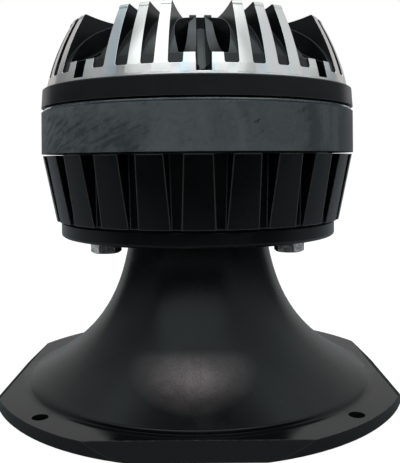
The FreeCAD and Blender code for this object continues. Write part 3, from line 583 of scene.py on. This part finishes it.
def buildTurnedFace():
    # mask of the turned outside: how far a point lies from the arc's centre
    centreR, centreZ, radius = arcThrough(coverOutline["foot"], coverOutline["top"],
                                          coverOutline["bulge"])
    group, entry, leave = newGroup("turnedFace", [("Skin", "NodeSocketFloat", 0.2)],
                                   [("Mask", "NodeSocketFloat"), ("Angle", "NodeSocketFloat")])
    coords = addNode(group, "ShaderNodeTexCoord")
    parts = addNode(group, "ShaderNodeSeparateXYZ")
    group.links.new(coords.outputs["Object"], parts.inputs[0])
    x, y, z = parts.outputs["X"], parts.outputs["Y"], parts.outputs["Z"]
    flatRadius = mathNode(group, "SQRT", mathNode(group, "ADD", mathNode(group, "MULTIPLY", x, x),
                                                  mathNode(group, "MULTIPLY", y, y)))
    r = mathNode(group, "SUBTRACT", mathNode(group, "MULTIPLY", flatRadius, 1 / mm), centreR)
    h = mathNode(group, "SUBTRACT", mathNode(group, "MULTIPLY", z, 1 / mm), centreZ)
    reach = mathNode(group, "SQRT", mathNode(group, "ADD", mathNode(group, "MULTIPLY", r, r),
                                             mathNode(group, "MULTIPLY", h, h)))
    depth = mathNode(group, "SUBTRACT", radius, reach)
    outside = mathNode(group, "LESS_THAN", depth, entry.outputs["Skin"])
    above = mathNode(group, "GREATER_THAN", z, (coverOutline["foot"][1] - 0.02) * mm)
    mask = mathNode(group, "MULTIPLY", outside, above)
    group.links.new(mask, leave.inputs["Mask"])
    angle = mathNode(group, "ARCTAN2", x, y)
    group.links.new(angle, leave.inputs["Angle"])
    return group


def coverMaterial():
    material, tree, shader = startMaterial("coverCasting")
    face = placeGroup(tree, buildTurnedFace(), Skin=coverOutline["skin"])
    marks = placeGroup(tree, smudgeGroup, **coverOutline["marks"])
    grain = placeGroup(tree, grainGroup, **coverOutline["grain"])
    rings = placeGroup(tree, turnedGroup, Rings=coverOutline["rings"])
    # faint blue and rose bands drift over the bright metal
    tint = coverOutline["neutral"]
    for shade, scale, share in coverOutline["bands"]:
        bands = addNode(tree, "ShaderNodeTexNoise", noise_dimensions="1D")
        bands.inputs["Scale"].default_value = scale
        bands.inputs["Detail"].default_value = coverOutline["bandDetail"]
        tree.links.new(face.outputs["Angle"], bands.inputs["W"])
        band = rampNode(tree, bands.outputs["Fac"], *coverOutline["bandShows"], 0.0, share)
        tint = mixColours(tree, band, tint, coverOutline[shade])
    paint = mixColours(tree, marks.outputs["Mask"], coverOutline["paint"], coverOutline["markColour"])
    # painted highlight along the edges of the painted casting
    rubMarksAndEdgeHighlight = edgeHighlightMask(tree, coverOutline["edgeHighlightWidth"] * mm, coverOutline["edgeHighlightShows"])
    paint = mixColours(tree, rubMarksAndEdgeHighlight, paint, coverOutline["edgeHighlight"])
    colour = mixColours(tree, face.outputs["Mask"], paint, tint)
    tree.links.new(colour, shader.inputs["Base Color"])
    tree.links.new(face.outputs["Mask"], shader.inputs["Metallic"])
    paintRough = rampNode(tree, marks.outputs["Mask"], 0.0, 1.0, *coverOutline["paintGloss"])
    rough = mathNode(tree, "MULTIPLY_ADD", face.outputs["Mask"], coverOutline["turnedGloss"],
                     paintRough)
    tree.links.new(rough, shader.inputs["Roughness"])
    height = mathNode(tree, "MULTIPLY_ADD", rings.outputs["Height"], face.outputs["Mask"],
                      grain.outputs["Height"])
    bump = addBump(tree, shader, height, coverOutline["grainStrength"],
                   coverOutline["grainDepth"] * mm)
    softEdges(tree, bump, coverOutline["edge"] * mm)
    return material


finishes["coverCasting"] = coverMaterial()

slotFinish = {
    "horn_plastic": "hornPlastic", "gasket_rubber": "gasketRubber", "black_casting": "housingPaint",
    "cover_casting": "coverCasting", "plate_steel": "platedSteel", "bright_plate": "brightSteel",
    "cap_copper": "copper", "ferrite": "ferrite", "plug_alloy": "plainAlloy", "diaphragm": "foil",
    "former": "formerFilm", "coil_wire": "coilWire", "surround_film": "surroundFilm",
    "ring_alloy": "plainAlloy", "pad_foam": "padFelt", "terminal_plastic": "terminalPlastic",
    "zinc_bolt": "zincBolt", "zinc_screw": "zincBolt", "black_screw": "blackScrew",
    "tab_brass": "tinnedBrass",
}
slotOf = {part["node"]: part["material_slot"] for part in frame["record"]["subparts"]}
for name, piece in nodes.items():
    finish = finishes[slotFinish[slotOf[name]]]
    for place in piece.material_slots:
        place.material = finish
print("finishes assigned")


# studio

def stagePlane(name, corners, material):
    mesh = bpy.data.meshes.new(name)
    mesh.from_pydata(corners, [], [(0, 1, 2, 3)])
    mesh.materials.append(material)
    piece = bpy.data.objects.new(name, mesh)
    bpy.context.scene.collection.objects.link(piece)
    return piece


def floorMaterial():
    # white to the camera with a little shading left, so the contact shadow stays
    material, tree, shader = startMaterial("studioFloor")
    shader.inputs["Roughness"].default_value = room["floorRoughness"]
    glow = addNode(tree, "ShaderNodeEmission")
    glow.inputs["Color"].default_value = (1.0, 1.0, 1.0, 1.0)
    path = addNode(tree, "ShaderNodeLightPath")
    colour = mixColours(tree, path.outputs["Is Glossy Ray"], room["floorColour"],
                        room["floorMirrored"])
    tree.links.new(colour, shader.inputs["Base Color"])
    blend = addNode(tree, "ShaderNodeMixShader")
    share = mathNode(tree, "MULTIPLY", path.outputs["Is Camera Ray"], room["floorGlow"])
    tree.links.new(share, blend.inputs[0])
    tree.links.new(shader.outputs[0], blend.inputs[1])
    tree.links.new(glow.outputs[0], blend.inputs[2])
    glow.inputs["Strength"].default_value = room["glowStrength"]
    # seen from below the floor is clear, so that the mouth can be looked into
    geometry = addNode(tree, "ShaderNodeNewGeometry")
    clear = addNode(tree, "ShaderNodeBsdfTransparent")
    above = addNode(tree, "ShaderNodeMixShader")
    tree.links.new(geometry.outputs["Backfacing"], above.inputs[0])
    tree.links.new(blend.outputs[0], above.inputs[1])
    tree.links.new(clear.outputs[0], above.inputs[2])
    tree.links.new(above.outputs[0], tree.nodes["Material Output"].inputs["Surface"])
    return material


def wallMaterial():
    material, tree, shader = startMaterial("studioWall")
    tree.nodes.remove(shader)
    glow = addNode(tree, "ShaderNodeEmission")
    path = addNode(tree, "ShaderNodeLightPath")
    strength = mathNode(tree, "MAXIMUM", path.outputs["Is Camera Ray"], room["wallGlow"])
    tree.links.new(strength, glow.inputs["Strength"])
    tree.links.new(glow.outputs[0], tree.nodes["Material Output"].inputs["Surface"])
    return material


def buildStudio():
    front = -room["floorAhead"]
    back = room["floorBehind"]
    side = room["floorSide"]
    low = -room["floorDrop"]
    stagePlane("studioFloor", [(-side, front, low), (side, front, low), (side, back, low),
                               (-side, back, low)], floorMaterial())
    wall = room["wallDistance"]
    high = room["wallHeight"]
    stagePlane("studioWall", [(-side, wall, 0), (side, wall, 0), (side, wall, high),
                              (-side, wall, high)], wallMaterial())


def buildWorld():
    world = bpy.data.worlds.new("studioWorld")
    world.use_nodes = True
    tree = world.node_tree
    background = tree.nodes["Background"]
    coords = addNode(tree, "ShaderNodeTexCoord")
    parts = addNode(tree, "ShaderNodeSeparateXYZ")
    tree.links.new(coords.outputs["Generated"], parts.inputs[0])
    ahead = mathNode(tree, "MULTIPLY", parts.outputs["Y"], -1.0)
    azimuth = mathNode(tree, "ARCTAN2", parts.outputs["X"], ahead)
    height = mathNode(tree, "ARCSINE", parts.outputs["Z"])
    level = darkLevel
    for light in lights.values():
        around = angleBand(tree, azimuth, light["azimuth"], light["border"][0])
        upward = angleBand(tree, height, light["height"], light["border"][1])
        share = mathNode(tree, "MULTIPLY", around, upward)
        level = mathNode(tree, "MAXIMUM", level, mathNode(tree, "MULTIPLY", share, light["level"]))
    across = softBand(tree, parts.outputs["X"], *overheadBox["side"], overheadBox["border"])
    along = softBand(tree, parts.outputs["Y"], *overheadBox["depth"], overheadBox["border"])
    above = mathNode(tree, "GREATER_THAN", parts.outputs["Z"], 0.0)
    share = mathNode(tree, "MULTIPLY", mathNode(tree, "MULTIPLY", across, along), above)
    level = mathNode(tree, "MAXIMUM", level, mathNode(tree, "MULTIPLY", share, overheadBox["level"]))
    path = addNode(tree, "ShaderNodeLightPath")
    strength = mathNode(tree, "MAXIMUM", level, path.outputs["Is Camera Ray"])
    tree.links.new(strength, background.inputs["Strength"])
    tint = mixColours(tree, path.outputs["Is Camera Ray"], lightColour, (1.0, 1.0, 1.0))
    tree.links.new(tint, background.inputs["Color"])
    bpy.context.scene.world = world


buildStudio()
buildWorld()
bpy.context.scene.view_settings.view_transform = "Standard"
print("studio lit")
